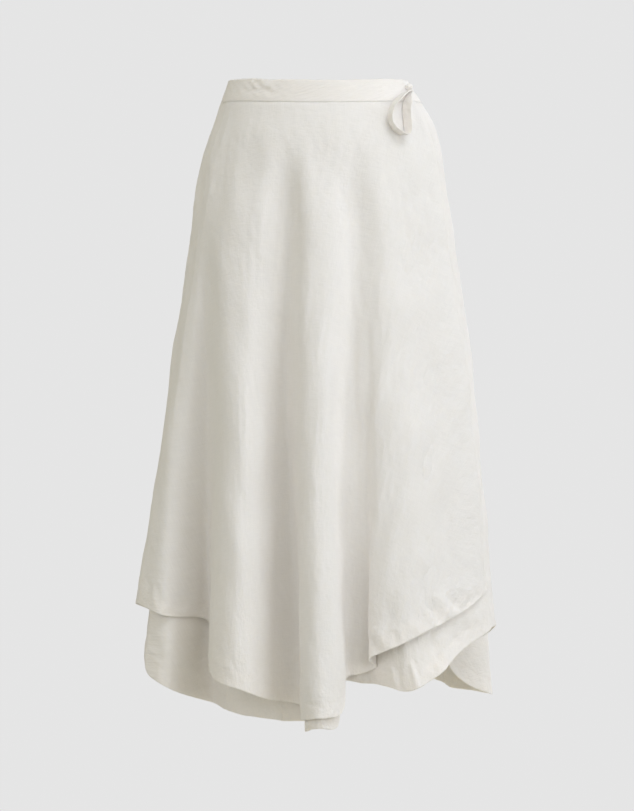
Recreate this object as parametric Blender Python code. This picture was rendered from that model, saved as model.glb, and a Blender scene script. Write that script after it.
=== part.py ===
"""Wrap skirt in plain linen: two overlapping fronts, a back, a waistband and a knotted tie.

The skirt keeps the hollow form it has when worn. +X is the wearer's left, the front faces -Y and +Z is up.
The origin is the middle of the waist ring, halfway up the waistband. All sizes are in metres.

The cloth is described by fold lines: rows of FOLDS, going once round the body, each with its place at the
waist (an angle), at knee height and near the hem (a plan position). A smooth closed curve through the fold
lines is the section of the skirt at any height. Each panel is a stretch of that skin between two of the lines.
"""

import math

import bpy
import numpy as np

# ---- driving sizes ---------------------------------------------------------------------------------------
CLOTH = 0.0014           # wall of one layer of linen
BAND_WALL = 0.0022       # the waistband, a strip folded double
BAND_HEIGHT = 0.0305     # from the waist seam to the top edge
BAND_PROUD = 0.0004      # how far the waistband stands outside the panel below it
SEAM_GAP = 0.0003        # between pieces that are sewn together
WRAP_AT_WAIST = 0.0032   # outer face of the over layer to outer face of the under layer, at the waist
WRAP_AT_KNEE = 0.0050    # the same, at knee height
WRAP_AT_HEM = 0.0060     # and near the hem
WRAP_SETTLE = 0.25       # depth below the waist over which the first becomes the second

SEAM_Z_SIDE = -0.0170    # the waist seam at the sides
FRONT_DIP = 0.0080       # how much lower the waist is at centre front
BACK_RISE = 0.0040       # how much higher it is at centre back

FOLDS_START_Z = -0.085   # above this height the skirt lies smooth on the body
HIP_Z = -0.190           # below this height the folds are free of the body
KNEE_Z = -0.450
LOW_Z = -0.820

MM = 0.001

# The body that the skirt hangs round: half width, sideways shift, and depth in front and behind, by height.
SECTION_COLUMNS = ("z", "half_width", "shift", "front", "back")
SECTIONS = [
    (30.0, 121.5, -2.5, 85.0, 81.5),
    (14.0, 126.5, 0.0, 88.0, 84.0),
    (-17.0, 141.6, 4.6, 94.0, 90.0),
    (-38.0, 150.8, 7.5, 99.5, 96.0),
    (-57.0, 157.2, 7.6, 104.5, 101.5),
    (-83.0, 165.4, 6.4, 109.0, 108.0),
    (-110.0, 171.0, 5.3, 112.5, 113.5),
    (-190.0, 182.1, 4.6, 119.5, 122.0),
    (-300.0, 195.4, 5.6, 129.0, 130.0),
]

# The fold lines, left seam -> front -> right seam -> back. angle: place at the waist, 0 at centre front.
# turn: how much further round it has come at the hip. hip: how far the line stands off the body there. Then the
# plan position at the knee and near the hem, and the height of the hem: of the over front, and of the layer within
# (under front or back).
FOLD_COLUMNS = ("name", "angle", "turn", "hip", "x_knee", "y_knee", "x_low", "y_low", "z_over", "z_inner")
FOLDS = [
    ("left seam", -92.0, 0.0, 0.0, -213.0, 14.0, -215.0, 22.0, -742.0, -752.0),
    ("left turn", -81.0, 0.0, 0.0, -213.5, -14.0, -272.0, -22.0, -716.0, -760.0),
    ("under edge", -69.0, 0.0, 2.0, -204.0, -46.0, -254.0, -66.0, -718.0, -807.0),
    ("flute 1", -67.0, 0.0, 2.5, -197.5, -54.0, -226.0, -91.0, -726.0, -823.0),
    ("flute 1 inner side", -63.5, 0.0, 3.0, -180.0, -57.5, -192.0, -62.0, -731.0, -839.0),
    ("valley 1", -59.0, 0.0, 3.0, -157.0, -49.0, -153.0, -18.0, -740.0, -853.0),
    ("flute 2 outer side", -50.0, 0.0, 6.5, -137.0, -107.0, -151.5, -111.0, -800.0, -861.0),
    ("flute 2", -39.0, 0.0, 10.5, -105.0, -137.5, -111.0, -165.0, -820.0, -868.0),
    ("flute 2 inner side", -28.0, 0.0, 5.0, -77.0, -123.0, -74.0, -135.0, -836.0, -872.0),
    ("valley 2 left", -21.0, 0.0, -11.0, -59.0, -98.0, -48.0, -90.0, -845.0, -873.0),
    ("valley 2", -16.0, 0.0, -19.0, -44.5, -89.5, -20.0, -89.0, -852.0, -874.0),
    ("flute 3 left side", -9.5, 0.0, 1.0, -28.5, -137.0, -25.5, -148.0, -863.0, -880.0),
    ("flute 3", -3.5, 0.0, 11.0, -9.0, -155.0, -1.0, -191.0, -857.0, -871.0),
    ("flute 3 right side", 4.5, 0.0, 5.0, 15.0, -149.0, 34.0, -156.0, -846.0, -863.0),
    ("valley 3 left", 9.5, 0.0, -4.5, 30.0, -124.0, 37.0, -116.0, -811.0, -817.0),
    ("valley 3", 14.5, 0.0, -9.0, 44.0, -115.0, 56.0, -112.0, -805.0, -818.0),
    ("valley 3 right", 19.0, 0.0, -5.5, 60.0, -119.0, 78.0, -114.0, -796.0, -819.0),
    ("flute 4 left side", 24.0, 1.0, 4.0, 71.5, -131.0, 67.0, -134.0, -786.0, -821.0),
    ("flute 4", 36.0, 1.0, 2.0, 104.0, -134.0, 101.0, -164.0, -765.0, -825.0),
    ("flute 4 broad side", 48.0, 0.0, 0.0, 148.0, -113.0, 154.0, -148.0, -741.0, -807.0),
    ("flute 4 far side", 57.0, 2.0, 0.0, 186.0, -80.0, 198.0, -108.0, -722.0, -778.0),
    ("over edge", 65.0, 7.0, 0.0, 212.0, -38.0, 245.0, -40.0, -697.0, -752.0),
    ("right turn", 79.0, 3.0, 0.0, 219.0, -6.0, 255.0, -2.0, 0.0, -747.0),
    ("right turn back", 86.0, 1.0, 0.0, 219.5, 9.0, 236.0, 24.0, 0.0, -762.0),
    ("right seam", 93.0, 0.0, 0.0, 218.0, 24.0, 178.0, 27.0, 0.0, -790.0),
    ("seam flank", 99.0, 0.0, 0.0, 217.0, 38.0, 208.0, 48.0, 0.0, -833.0),
    ("back flute 1", 106.0, 0.0, 0.0, 216.0, 54.0, 247.0, 82.0, 0.0, -852.0),
    ("back valley 1", 115.0, 0.0, 0.0, 194.0, 73.0, 192.0, 112.0, 0.0, -846.0),
    ("back flute 2", 129.0, 0.0, 1.0, 166.0, 100.0, 164.0, 172.0, 0.0, -838.0),
    ("back valley 2", 145.0, 0.0, -1.5, 121.0, 111.0, 108.0, 118.0, 0.0, -838.0),
    ("back flute 3", 161.0, 0.0, 1.5, 70.0, 139.0, 58.0, 188.0, 0.0, -828.0),
    ("back valley 3", 175.0, 0.0, -2.0, 22.0, 127.0, 8.0, 122.0, 0.0, -834.0),
    ("back flute 4", 191.0, 0.0, 1.5, -38.0, 144.0, -46.0, 192.0, 0.0, -826.0),
    ("back valley 4", 206.0, 0.0, -2.0, -88.0, 120.0, -96.0, 116.0, 0.0, -832.0),
    ("back flute 5", 222.0, 0.0, 1.0, -136.0, 117.0, -152.0, 168.0, 0.0, -818.0),
    ("back valley 5", 238.0, 0.0, -1.0, -170.0, 85.0, -184.0, 94.0, 0.0, -822.0),
    ("back flute 6", 252.0, 0.0, 0.0, -202.0, 55.0, -234.0, 66.0, 0.0, -798.0),
]

# Each side of a back flute has a line of its own: this far along from the valley to the ridge, and this far out.
SIDE_ALONG = 0.40
SIDE_OUT = 0.62


def with_sides(rows):
    """The fold lines with one more between each ridge and valley of the back, which makes the ridges broad."""
    full = []
    for row, following in zip(rows, rows[1:] + rows[:1]):
        full.append(row)
        kinds = {row[0][:11], following[0][:11]}
        if kinds != {"back flute ", "back valley"}:
            continue
        ridge, valley = (row, following) if "flute" in row[0] else (following, row)
        side = [row[0] + " side"]
        side += [(a + b) / 2 for a, b in zip(row[1:6], following[1:6])]
        foot = np.array(valley[6:8])
        reach = np.array(ridge[6:8]) - foot
        out = foot / np.linalg.norm(foot)
        outwards = out * (reach @ out)
        side += list(foot + (reach - outwards) * SIDE_ALONG + outwards * SIDE_OUT)
        side += [(a + b) / 2 for a, b in zip(row[8:], following[8:])]
        full.append(tuple(side))
    return full


FOLDS = with_sides(FOLDS)

# Where the under front doesn't follow the over front near the hem, it hangs here instead (plan position).
UNDER_LOW = {
    "under edge": (-246.0, -50.0),
    "flute 1": (-216.0, -76.0),
    "flute 1 inner side": (-186.0, -50.0),
    "valley 1": (-156.0, -8.0),
    "flute 2 outer side": (-130.0, -44.0),
    "flute 2": (-94.0, -76.0),
    "flute 2 inner side": (-57.0, -84.0),
    "valley 2 left": (-40.0, -80.0),
    "valley 2": (-9.0, -80.0),
    "flute 3 left side": (-19.5, -141.0),
    "flute 3": (0.0, -184.0),
    "flute 3 right side": (27.0, -146.0),
    "valley 3 left": (32.0, -104.0),
    "valley 3": (53.0, -101.0),
    "valley 3 right": (74.0, -106.0),
    "flute 4 left side": (93.0, -129.5),
    "flute 4": (120.0, -150.0),
    "flute 4 broad side": (158.0, -142.0),
}

HEM_CORNER = 0.020       # radius of the under front's rounded lower corner

# ---- the tie ---------------------------------------------------------------------------------------------
TIE_WIDTH = 0.016
TIE_WALL = 0.0012
KNOT_X = 0.1205          # where the tie is knotted, along the front
KNOT_Z = 0.0010
KNOT_SIZE = (0.0125, 0.0100, 0.0085)    # along the waistband, up it and off it
KNOT_STAND = 0.0012 + KNOT_SIZE[2] / 2
LOOP_HALF_WIDTH = 0.0098
LOOP_DROP = 0.0640
LOOP_LEAN = 0.0165       # how far the loop has swung to the side of the knot halfway down
LOOP_LEAN_LOW = 0.0095   # and at its lowest point
LOOP_CLEAR = 0.0020      # from the skirt to the tie's nearer edge
LOOP_TURN = 18.0         # how far the tie's width turns to the side from straight off the skirt, in degrees
LOOP_OPENING = 0.40      # the turn at which the loop's two ends leave the knot

# ---- mesh density ----------------------------------------------------------------------------------------
STEP_ALONG = 0.0150
PANEL_ROWS = 18
BAND_STEPS = 84
LOOP_STEPS = 28

LINEN = (0.86, 0.845, 0.80, 1.0)


# ---- curves ----------------------------------------------------------------------------------------------
def column(rows, columns, name):
    """One column of a table as an array."""
    return np.array([row[columns.index(name)] for row in rows])


def slope_rule(knots, period=None):
    """The matrix that turns a curve's values at its knots into its slopes there, so that the curve bends without
    a break: closed with a period, and free at both ends without one."""
    count = len(knots)
    rule = np.zeros((count, count))
    chords = np.zeros((count, count))
    for i in range(count):
        left = (i - 1) % count
        right = (i + 1) % count
        before = (knots[i] - knots[left]) % period if period else knots[i] - knots[left]
        after = (knots[right] - knots[i]) % period if period else knots[right] - knots[i]
        if period or i > 0:
            rule[i, left] += 1 / before
            rule[i, i] += 2 / before
            chords[i, i] += 3 / before**2
            chords[i, left] -= 3 / before**2
        if period or i < count - 1:
            rule[i, right] += 1 / after
            rule[i, i] += 2 / after
            chords[i, right] += 3 / after**2
            chords[i, i] -= 3 / after**2
    return np.linalg.solve(rule, chords)


def spline_weights(knots, at, period=None):
    """Weights of a smooth curve through values at the knots, a cubic in each span. Row j holds what each knot's
    value counts for at at[j]. With a period the curve is closed; without one it runs straight on at its ends."""
    knots = np.asarray(knots, float)
    at = np.atleast_1d(np.asarray(at, float))
    slopes = slope_rule(knots, period)
    count = len(knots)
    if period:
        at = knots[0] + np.mod(at - knots[0], period)
        ends = np.append(knots, knots[0] + period)
    else:
        ends = knots
    span = np.clip(np.searchsorted(ends, at, side="right") - 1, 0, len(ends) - 2)
    step = ends[span + 1] - ends[span]
    t = (at - ends[span]) / step
    past = np.where(t > 1, t - 1, np.minimum(t, 0)) * step
    t = np.clip(t, 0, 1)
    this = np.eye(count)[span]
    following = np.eye(count)[(span + 1) % count]
    t, step, past = t[:, None], step[:, None], past[:, None]
    weights = (2 * t**3 - 3 * t**2 + 1) * this + (3 * t**2 - 2 * t**3) * following
    weights += (t**3 - 2 * t**2 + t) * step * slopes[span] + (t**3 - t**2) * step * slopes[(span + 1) % count]
    weights += np.maximum(past, 0) * slopes[(span + 1) % count] + np.minimum(past, 0) * slopes[span]
    return weights


def ease(t):
    """0 to 1 with a soft start and end."""
    t = np.clip(t, 0.0, 1.0)
    return t * t * (3.0 - 2.0 * t)


SECTION_Z = column(SECTIONS, SECTION_COLUMNS, "z")[::-1] * MM
SECTION_SIZES = np.array([row[1:] for row in SECTIONS])[::-1] * MM


def on_body(angle, z):
    """Point of the body's section at an angle (degrees) and height, and the outward direction there."""
    angle, z = np.broadcast_arrays(np.radians(angle), np.asarray(z, float))
    sizes = spline_weights(SECTION_Z, z.ravel()) @ SECTION_SIZES
    half_width, shift, front, back = (sizes[:, i].reshape(z.shape) for i in range(4))
    depth = np.where(np.cos(angle) > 0, front, back)
    point = np.stack([shift + half_width * np.sin(angle), -depth * np.cos(angle)], axis=-1)
    outward = np.stack([np.sin(angle) * depth, -np.cos(angle) * half_width], axis=-1)
    return point, outward / np.linalg.norm(outward, axis=-1, keepdims=True)


def waist_seam(angle):
    """Height of the waist seam: level at the sides, lower in front and higher behind."""
    lean = np.cos(np.radians(angle))
    return SEAM_Z_SIDE - FRONT_DIP * np.clip(lean, 0, 1) ** 2 + BACK_RISE * np.clip(-lean, 0, 1) ** 2


# ---- the skin --------------------------------------------------------------------------------------------
NAMES = [row[0] for row in FOLDS]
ANGLES = column(FOLDS, FOLD_COLUMNS, "angle").astype(float)
HIP_ANGLES = ANGLES + column(FOLDS, FOLD_COLUMNS, "turn")
LINES = len(FOLDS)


def line_knots():
    """A running length for each fold line: chords round the skin, halfway between hip and hem."""
    hip, _ = on_body(HIP_ANGLES, HIP_Z)
    low = np.stack([column(FOLDS, FOLD_COLUMNS, "x_low"), column(FOLDS, FOLD_COLUMNS, "y_low")], axis=1) * MM
    chords = sum(np.linalg.norm(np.roll(ring, -1, axis=0) - ring, axis=1) for ring in (hip, low)) / 2
    return np.concatenate([[0.0], np.cumsum(chords)[:-1]]), float(chords.sum())


KNOTS, PERIOD = line_knots()


def layer_lines(layer):
    """How a layer's fold lines go: plan positions at the hip, knee and low levels, slopes at the first two, and how
    far the layer lies within the skin at the waist, at the knee and low down.
    The layers are "over" (the skin itself), "under" (the under front) and "back"."""
    hip, hip_out = on_body(HIP_ANGLES, HIP_Z)
    above, above_out = on_body(HIP_ANGLES, HIP_Z + 0.02)
    stand = column(FOLDS, FOLD_COLUMNS, "hip")[:, None] * MM
    slope = (hip - above) / 0.02 + (hip_out - above_out) * stand / 0.02
    hip = hip + hip_out * stand
    knee = np.stack([column(FOLDS, FOLD_COLUMNS, "x_knee"), column(FOLDS, FOLD_COLUMNS, "y_knee")], axis=1) * MM
    low = np.stack([column(FOLDS, FOLD_COLUMNS, "x_low"), column(FOLDS, FOLD_COLUMNS, "y_low")], axis=1) * MM
    knee_slope = (low - hip) / (HIP_Z - LOW_Z)
    inset = np.zeros((3, LINES))
    if layer == "under":
        over_edge = NAMES.index("over edge")
        inset[0] = WRAP_AT_WAIST
        inset[1, :over_edge] = WRAP_AT_KNEE
        inset[2, :over_edge] = WRAP_AT_HEM
        inset[1:, over_edge] = WRAP_AT_WAIST
        for name, (x, y) in UNDER_LOW.items():
            row = NAMES.index(name)
            low[row] = (x * MM, y * MM)
            inset[2, row] = 0.0
    if layer == "back":
        right_seam = NAMES.index("right seam")
        inset[0, right_seam:] = WRAP_AT_WAIST * np.linspace(1.0, 0.0, LINES - right_seam)
    return hip, slope, knee, knee_slope, low, inset


def leg(start, end, start_slope, end_slope, z_start, z_end, z):
    """Plan positions of all fold lines along one smooth stretch of their way down; straight on past its end."""
    drop = z_start - z_end
    t = ((z_start - z) / drop)[None, :, None]
    past = np.maximum(t - 1.0, 0.0)
    t = np.clip(t, 0.0, 1.0)
    bend = (t**3 - 2 * t**2 + t) * start_slope[:, None] + (t**3 - t**2 + past) * end_slope[:, None]
    return (2 * t**3 - 3 * t**2 + 1) * start[:, None] + (3 * t**2 - 2 * t**3) * end[:, None] + drop * bend


def fold_paths(z, layer):
    """Plan position of every fold line at each height: round the body down to the hip, then smoothly through the
    knee and low positions, and moved in from the skin by the layer's inset."""
    hip, slope, knee, knee_slope, low, inset = layer_lines(layer)
    down = ease((SEAM_Z_SIDE - z) / (SEAM_Z_SIDE - HIP_Z))[None, :]
    turned = ANGLES[:, None] + (HIP_ANGLES - ANGLES)[:, None] * down
    body, body_out = on_body(turned, np.broadcast_to(z, turned.shape))
    stand = column(FOLDS, FOLD_COLUMNS, "hip")[:, None, None] * MM
    begun = ease((FOLDS_START_Z - z) / (FOLDS_START_Z - HIP_Z))[None, :, None]
    upper = body + body_out * stand * begun
    low_slope = (low - knee) / (KNEE_Z - LOW_Z)
    middle = leg(hip, knee, slope, knee_slope, HIP_Z, KNEE_Z, z)
    lower = leg(knee, low, knee_slope, low_slope, KNEE_Z, LOW_Z, z)
    level = z[None, :, None]
    lines = np.where(level > HIP_Z, upper, np.where(level > KNEE_Z, middle, lower))
    if not inset.any():
        return lines
    settle = ease((SEAM_Z_SIDE - z) / WRAP_SETTLE)[None, :]
    sink = np.clip((KNEE_Z - z) / (KNEE_Z - LOW_Z), 0.0, 1.0)[None, :]
    at_knee = inset[0][:, None] * (1 - settle) + inset[1][:, None] * settle
    moved = at_knee * (1 - sink) + inset[2][:, None] * sink
    tangent = (slope_rule(KNOTS, PERIOD) @ lines.reshape(LINES, -1)).reshape(lines.shape)
    outward = np.stack([tangent[..., 1], -tangent[..., 0]], axis=-1)
    outward /= np.linalg.norm(outward, axis=-1, keepdims=True)
    return lines - outward * moved[..., None]


def skin(along, z, layer):
    """Points of a layer: along is the running length round the skin (m values), z the heights (m by n).
    The section at a height is the smooth closed curve through the fold lines."""
    z = np.asarray(z, float)
    lines = fold_paths(z.ravel(), layer).reshape((LINES,) + z.shape + (2,))
    plan = np.einsum("mk,kmnc->mnc", spline_weights(KNOTS, along, PERIOD), lines)
    return np.concatenate([plan, z[..., None]], axis=-1)


def skin_normals(along, z, layer):
    """Outward directions of a layer, from its slopes along and down."""
    step = 1e-4
    across = skin(along + step, z, layer) - skin(along - step, z, layer)
    down = skin(along, z - step, layer) - skin(along, z + step, layer)
    normals = np.cross(down, across)
    return normals / np.linalg.norm(normals, axis=-1, keepdims=True)


def between(first, last):
    """Evenly spaced running lengths from one fold line to another."""
    start = KNOTS[NAMES.index(first)]
    stop = KNOTS[NAMES.index(last)]
    if stop <= start:
        stop += PERIOD
    return np.linspace(start, stop, int(round((stop - start) / STEP_ALONG)) + 1)


def hem_line(along, first, last, column_name):
    """Height of a panel's hem: a smooth curve through the values of the fold lines from its first to its last."""
    start = NAMES.index(first)
    stop = NAMES.index(last)
    rows = np.arange(start, stop + 1 if stop > start else stop + LINES + 1)
    heights = column(FOLDS, FOLD_COLUMNS, column_name)[rows % LINES] * MM
    knots = KNOTS[rows % LINES] + PERIOD * (rows // LINES)
    return spline_weights(knots, along) @ heights


def waist_line(along):
    """Height of the waist seam above each running length."""
    turned = np.concatenate([ANGLES, ANGLES + 360.0])
    knots = np.concatenate([KNOTS, KNOTS + PERIOD])
    return waist_seam(np.interp(along, knots, turned))


# ---- objects ---------------------------------------------------------------------------------------------
def linen(name, shade):
    """A plain woven finish: one colour, dull."""
    material = bpy.data.materials.new(name)
    material.use_nodes = True
    surface = material.node_tree.nodes["Principled BSDF"]
    surface.inputs["Base Color"].default_value = tuple(c * shade for c in LINEN[:3]) + (1.0,)
    surface.inputs["Roughness"].default_value = 0.9
    surface.inputs["Metallic"].default_value = 0.0
    return material


def wall_object(name, outer, inner, collection, shade):
    """A closed wall between two grids of points (across by down): both faces and the strip round the edge. Each
    square of the grid is cut along its shorter diagonal, the same way on both faces, so the wall keeps its
    thickness where the cloth twists."""
    across, down = outer.shape[:2]
    count = across * down
    corner = np.arange(count).reshape(across, down)
    a, b, c, d = (part.ravel() for part in (corner[:-1, :-1], corner[:-1, 1:], corner[1:, 1:], corner[1:, :-1]))
    flat = outer.reshape(-1, 3)
    first = np.linalg.norm(flat[a] - flat[c], axis=1) < np.linalg.norm(flat[b] - flat[d], axis=1)
    halves = np.where(first[:, None], np.stack([a, b, c, a, c, d], axis=1), np.stack([a, b, d, b, c, d], axis=1))
    front = halves.reshape(-1, 3)
    edge = np.concatenate([corner[:, 0], corner[-1, 1:], corner[-2::-1, -1], corner[0, -2::-1]])
    this, following = edge[:-1], edge[1:]
    rim = np.concatenate([np.stack([this, following, following + count], axis=1),
                          np.stack([this, following + count, this + count], axis=1)])
    faces = np.concatenate([front, front[:, ::-1] + count, rim])
    mesh = bpy.data.meshes.new(name)
    mesh.from_pydata(np.concatenate([flat, inner.reshape(-1, 3)]).tolist(), [], faces.tolist())
    mesh.shade_smooth()
    mesh.materials.append(linen(name, shade))
    wall = bpy.data.objects.new(name, mesh)
    collection.objects.link(wall)
    return wall


def panel(name, first, last, hem_column, layer, collection, shade, corner=0.0):
    """A panel of the skirt from the waist seam to its hem, between two fold lines. Its side edges stop half a
    seam gap short of the lines."""
    along = between(first, last)
    top = waist_line(along) - SEAM_GAP
    hem = hem_line(along, first, last, hem_column)
    if corner:
        edge_points = skin(along, hem[:, None], layer)[:, 0]
        reach = np.concatenate([[0.0], np.cumsum(np.linalg.norm(np.diff(edge_points, axis=0), axis=1))])
        short = np.clip(1 - reach / corner, 0, 1)
        hem = hem + corner * (1 - np.sqrt(1 - short**2))
    rows = np.linspace(0.0, 1.0, PANEL_ROWS + 1)[None, :]
    z = top[:, None] + (hem - top)[:, None] * rows
    points = skin(along, z, layer)
    normals = skin_normals(along, z, layer)
    for edge, beside in ((0, 1), (-1, -2)):
        step = points[beside] - points[edge]
        points[edge] += step / np.linalg.norm(step, axis=1, keepdims=True) * SEAM_GAP / 2
    return wall_object(name, points, points - normals * CLOTH, collection, shade)


def waistband(collection):
    """One folded strip along the waist seam: from the over edge across the front to the left seam, round the
    back while it moves in by the depth of the wrap, and on under itself to the under edge."""
    start = ANGLES[NAMES.index("over edge")]
    end = ANGLES[NAMES.index("under edge")] - 360.0
    angle = np.linspace(start, end, BAND_STEPS + 1)
    behind = np.clip((-90.0 - angle) / 180.0, 0.0, 1.0)
    inset = WRAP_AT_WAIST * behind
    seam = waist_seam(angle)
    z = np.stack([seam + BAND_HEIGHT * t for t in (0.0, 0.5, 1.0)], axis=1)
    plan, outward = on_body(angle[:, None], z)
    faces = [plan + outward * (BAND_PROUD - inset - wall)[:, None, None] for wall in (0.0, BAND_WALL)]
    outer, inner = (np.concatenate([face, z[..., None]], axis=-1)[::-1, ::-1] for face in faces)
    return wall_object("waistband", outer, inner, collection, 0.98)


def off_skirt(x, z, distance, turn=0.0):
    """Points at a distance off the skirt's right front, over a plan x and a height, and the direction there: the
    outward one, turned to the side by some degrees."""
    sizes = spline_weights(SECTION_Z, z) @ SECTION_SIZES
    angle = np.degrees(np.arcsin((x - sizes[:, 1]) / sizes[:, 0]))
    plan, outward = on_body(angle, z)
    cos, sin = math.cos(math.radians(turn)), math.sin(math.radians(turn))
    off = outward @ np.array([[cos, sin], [-sin, cos]])
    return np.concatenate([plan + off * distance[:, None], z[:, None]], axis=-1), off


def tie_loop(collection):
    """The hanging loop: a drop shape against the skirt, with the tie standing on its edge. At turn t from 0 to
    a full circle it is sin t * sin(t/2) wide and (1 - cos t) / 2 of its drop below the knot; its middle swings
    to the side on a parabola."""
    turn = np.linspace(LOOP_OPENING, 2 * math.pi - LOOP_OPENING, LOOP_STEPS)
    fall = (1 - np.cos(turn)) / 2
    lean = fall * (4 * LOOP_LEAN - LOOP_LEAN_LOW) - fall**2 * (4 * LOOP_LEAN - 2 * LOOP_LEAN_LOW)
    x = KNOT_X - lean - LOOP_HALF_WIDTH * 1.3 * np.sin(turn) * np.sin(turn / 2)
    z = KNOT_Z - KNOT_SIZE[1] / 2 - LOOP_DROP * fall
    width = TIE_WIDTH * (0.45 + 0.55 * ease(fall / 0.35))
    edges = []
    for side in (0.0, 0.5, 1.0):
        edges.append(off_skirt(x, z, LOOP_CLEAR + (TIE_WIDTH - width) * 0.2 + width * side, LOOP_TURN)[0])
    outer = np.stack(edges, axis=1)
    path = np.gradient(outer, axis=0)
    across = np.gradient(outer, axis=1)
    normals = np.cross(across, path)
    normals /= np.linalg.norm(normals, axis=-1, keepdims=True)
    return wall_object("tie_loop", outer, outer - normals * TIE_WALL, collection, 0.97)


def tie_knot(collection):
    """The knot: a rounded lump, flattened against the waistband."""
    bpy.ops.mesh.primitive_uv_sphere_add(segments=16, ring_count=10, radius=0.5)
    knot = bpy.context.object
    knot.name = "tie_knot"
    for owner in list(knot.users_collection):
        owner.objects.unlink(knot)
    collection.objects.link(knot)
    across, up, off = KNOT_SIZE
    centre, outward = off_skirt(np.array([KNOT_X]), np.array([KNOT_Z]), np.array([KNOT_STAND]))
    knot.scale = (across, off, up)
    knot.rotation_euler = (0.0, 0.0, math.atan2(outward[0, 0], -outward[0, 1]))
    knot.location = tuple(centre[0])
    knot.data.shade_smooth()
    knot.data.materials.append(linen("tie_knot", 0.97))
    return knot


def build():
    for thing in list(bpy.data.objects):
        bpy.data.objects.remove(thing, do_unlink=True)
    skirt = bpy.data.collections.new("wrap_skirt")
    bpy.context.scene.collection.children.link(skirt)
    panel("over_front", "left seam", "over edge", "z_over", "over", skirt, 1.0)
    panel("under_front", "under edge", "right seam", "z_inner", "under", skirt, 0.94, HEM_CORNER)
    panel("back", "right seam", "left seam", "z_inner", "back", skirt, 0.9)
    waistband(skirt)
    tie_knot(skirt)
    tie_loop(skirt)


build()
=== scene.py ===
"""Looks of a linen wrap skirt: thin panels with turned-up hems, a folded waistband and a knotted tie.

Everything is in metres in the frame of the solids: +Z is up, the front faces -Y and the origin is the middle
of the waist ring. The tables of the body's sections and of the fold lines, in mm and degrees, are those that
the solids are worked out from.
"""

import math

import bpy
import numpy as np
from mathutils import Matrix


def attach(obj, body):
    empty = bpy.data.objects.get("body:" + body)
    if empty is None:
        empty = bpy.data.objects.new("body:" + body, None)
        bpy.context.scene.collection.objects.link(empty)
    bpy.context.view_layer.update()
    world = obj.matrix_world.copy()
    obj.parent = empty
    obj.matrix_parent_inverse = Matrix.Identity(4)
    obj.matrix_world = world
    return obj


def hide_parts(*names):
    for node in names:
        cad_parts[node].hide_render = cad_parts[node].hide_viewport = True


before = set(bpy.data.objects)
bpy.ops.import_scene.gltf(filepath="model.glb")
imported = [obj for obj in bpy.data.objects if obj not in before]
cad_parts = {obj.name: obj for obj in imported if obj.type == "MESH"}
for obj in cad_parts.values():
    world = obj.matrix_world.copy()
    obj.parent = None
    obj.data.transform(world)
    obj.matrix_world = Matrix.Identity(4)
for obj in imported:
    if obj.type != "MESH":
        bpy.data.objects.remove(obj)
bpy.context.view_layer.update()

# ---- driving sizes ----
CLOTH = 0.0008  # one layer of linen
TURN_UP = 0.0005  # what the turned-up hem adds behind it
HEM_DEPTH = 0.0220  # of the turned-up hem
EDGE_DEPTH = 0.0120  # of the narrow hem down a front's free edge
BAND_WALL = 0.0022
BAND_HEIGHT = 0.0305
BAND_PROUD = 0.0004  # how far the waistband's outer face stands off the body's section
BAND_CROWN = 0.0005  # how much fuller the waistband is in the middle of its height
SEAM_GAP = 0.0003  # between neighbouring panels
WAIST_GAP = 0.00012  # between the waistband's lower edge and the panels
WRAP_AT_WAIST = 0.0032  # how far the under front lies within the over front
WRAP_AT_KNEE = 0.0050
WRAP_AT_HEM = 0.0060
WRAP_SETTLE = 0.25  # the height over which its depth at the waist gives way to that at the knee

SEAM_Z_SIDE = -0.0170  # height of the waist seam at the sides
FRONT_DIP = 0.0080  # how much lower it is in front
BACK_RISE = 0.0040  # and how much higher behind

FOLDS_START_Z = -0.085  # above this height the skirt lies smooth on the body
HIP_Z = -0.190
KNEE_Z = -0.450
LOW_Z = -0.820

MM = 0.001

# The body that the skirt hangs round: half width, sideways shift, and depth in front and behind, by height.
SECTION_COLUMNS = ("z", "half_width", "shift", "front", "back")
SECTIONS = [
    (30, 121.5, -2.5, 85, 81.5),
    (14, 126.5, 0, 88, 84),
    (-17, 141.6, 4.6, 94, 90),
    (-38, 150.8, 7.5, 99.5, 96),
    (-57, 157.2, 7.6, 104.5, 101.5),
    (-83, 165.4, 6.4, 109, 108),
    (-110, 171, 5.3, 112.5, 113.5),
    (-190, 182.1, 4.6, 119.5, 122),
    (-300, 195.4, 5.6, 129, 130),
]

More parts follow.
